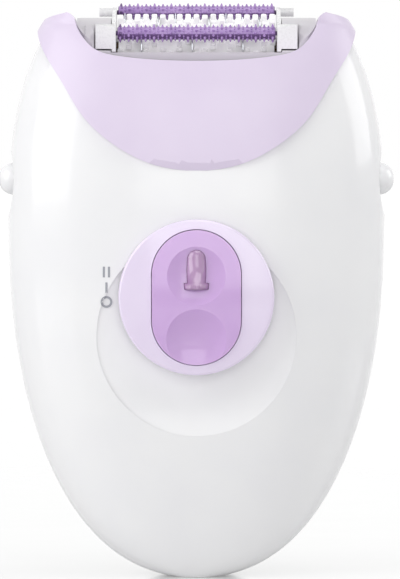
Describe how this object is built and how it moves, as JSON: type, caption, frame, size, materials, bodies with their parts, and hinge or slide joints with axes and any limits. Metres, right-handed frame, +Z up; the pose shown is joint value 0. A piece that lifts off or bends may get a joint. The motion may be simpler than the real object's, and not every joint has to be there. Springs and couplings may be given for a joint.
{
  "type": "epilator",
  "caption": "Hand-held corded epilator with an egg-shaped handle, round slide switch, side release buttons and a lift-off head with a tweezer drum between two studded massage rollers.",
  "frame": {"origin": "middle of the flat foot the handle stands on", "axes": "+Z up through the handle to the head, +X to the handle's left-hand side as it faces you with the switch in front, -Y out of the front face that carries the switch"},
  "size_m": [0.0788, 0.0454, 0.1143],
  "materials": {
    "body_white": "high-gloss moulded ABS",
    "collar_lilac": "satin-gloss moulded ABS",
    "switch_lilac": "gloss moulded ABS",
    "window_violet": "tinted translucent acrylic",
    "lamp_clear": "clear acrylic light guide",
    "button_grey": "gloss moulded ABS",
    "head_grey": "moulded acetal",
    "frame_white": "moulded ABS",
    "drum_white": "moulded ceramic-filled nylon",
    "roller_violet": "moulded ABS",
    "blade_steel": "stamped stainless strip",
    "shaft_steel": "ground steel",
    "spring_steel": "drawn spring wire",
    "screw_steel": "zinc-plated steel",
    "motor_steel": "nickel-plated drawn can",
    "magnet_dark": "sintered ferrite",
    "bush_bronze": "sintered bronze",
    "contact_brass": "plated brass",
    "copper_wire": "enamelled copper",
    "gear_white": "moulded acetal",
    "inner_grey": "moulded ABS",
    "inner_black": "moulded nylon",
    "board_green": "glass-epoxy laminate",
    "lead_red": "PVC insulation",
    "lead_black": "PVC insulation"
  },
  "bodies": {
    "handle": {"front_housing": "body_white", "rear_housing": "body_white", "collar": "collar_lilac", "head_seat": "inner_grey", "chassis": "inner_grey", "housing_screws": "screw_steel", "chassis_screws": "screw_steel", "seat_screws": "screw_steel", "motor_can": "motor_steel", "motor_magnets": "magnet_dark", "motor_end_cap": "inner_black", "motor_terminals": "contact_brass", "shaft_bushes": "bush_bronze", "circuit_board": "board_green", "board_screws": "screw_steel", "contact_strips": "contact_brass", "capacitor": "inner_black", "rectifier": "inner_black", "resistors": "inner_black", "supply_leads": "lead_red", "motor_leads": "lead_black", "inlet_socket": "inner_black", "inlet_pins": "contact_brass"},
    "motor_rotor_group": {"motor_rotor": "motor_steel", "motor_windings": "copper_wire", "motor_commutator": "copper_wire", "motor_shaft": "shaft_steel", "motor_pinion": "gear_white"},
    "crown_group": {"crown_gear": "gear_white", "crown_shaft": "shaft_steel", "drive_gear": "gear_white"},
    "release_right": {"release_button_right": "button_grey", "release_spring_right": "spring_steel"},
    "release_left": {"release_button_left": "button_grey", "release_spring_left": "spring_steel"},
    "switch": {"switch_disc": "switch_lilac", "switch_window": "window_violet", "switch_lamp": "lamp_clear", "switch_carrier": "inner_grey"},
    "head": {"head_frame": "head_grey", "head_cover_right": "head_grey", "head_cover_left": "head_grey", "drum_bushes": "bush_bronze", "idler_axle": "shaft_steel"},
    "idler": {"idler_gear": "gear_white"},
    "drum": {"tweezer_drum": "drum_white", "tweezer_blades": "blade_steel", "drum_axle": "shaft_steel", "drum_gear": "gear_white"},
    "massage_frame": {"roller_frame": "frame_white"},
    "front_roller_body": {"front_roller": "roller_violet"},
    "rear_roller_body": {"rear_roller": "roller_violet"}
  },
  "joints": [
    {"name": "motor_spin", "type": "hinge", "parent": "handle", "child": "motor_rotor_group", "pos_m": [0, 0.0015, 0.06], "axis": [0, 0, 1], "continuous": true},
    {"name": "crown_spin", "type": "hinge", "parent": "handle", "child": "crown_group", "pos_m": [0, 0.0015, 0.0836], "axis": [1, 0, 0], "continuous": true},
    {"name": "release_right_press", "type": "slide", "parent": "handle", "child": "release_right", "axis": [-1, 0, 0], "range_m": [0, 0.0015], "stiffness_N_per_m": 600, "springref_m": -0.001},
    {"name": "release_left_press", "type": "slide", "parent": "handle", "child": "release_left", "axis": [1, 0, 0], "range_m": [0, 0.0015], "stiffness_N_per_m": 600, "springref_m": -0.001},
    {"name": "switch_slide", "type": "slide", "parent": "handle", "child": "switch", "axis": [0, 0, 1], "range_m": [0, 0.006]},
    {"name": "head_lift", "type": "slide", "parent": "handle", "child": "head", "axis": [0, 0, 1], "range_m": [0, 0.028]},
    {"name": "idler_spin", "type": "hinge", "parent": "head", "child": "idler", "pos_m": [0.02, 0.0015, 0.0951], "axis": [1, 0, 0], "continuous": true},
    {"name": "drum_spin", "type": "hinge", "parent": "head", "child": "drum", "pos_m": [0, 0.0015, 0.1051], "axis": [1, 0, 0], "continuous": true},
    {"name": "massage_frame_lift", "type": "slide", "parent": "head", "child": "massage_frame", "axis": [0, 0, 1], "range_m": [0, 0.014]},
    {"name": "front_roller_spin", "type": "hinge", "parent": "massage_frame", "child": "front_roller_body", "pos_m": [0, -0.0073, 0.1081], "axis": [1, 0, 0], "continuous": true},
    {"name": "rear_roller_spin", "type": "hinge", "parent": "massage_frame", "child": "rear_roller_body", "pos_m": [0, 0.0071, 0.11245], "axis": [1, 0, 0], "continuous": true}
  ],
  "couplings": [
    {"joint": "crown_spin", "follows": "motor_spin", "ratio": 0.27778},
    {"joint": "idler_spin", "follows": "motor_spin", "ratio": -0.30303},
    {"joint": "drum_spin", "follows": "motor_spin", "ratio": 0.37037}
  ]
}
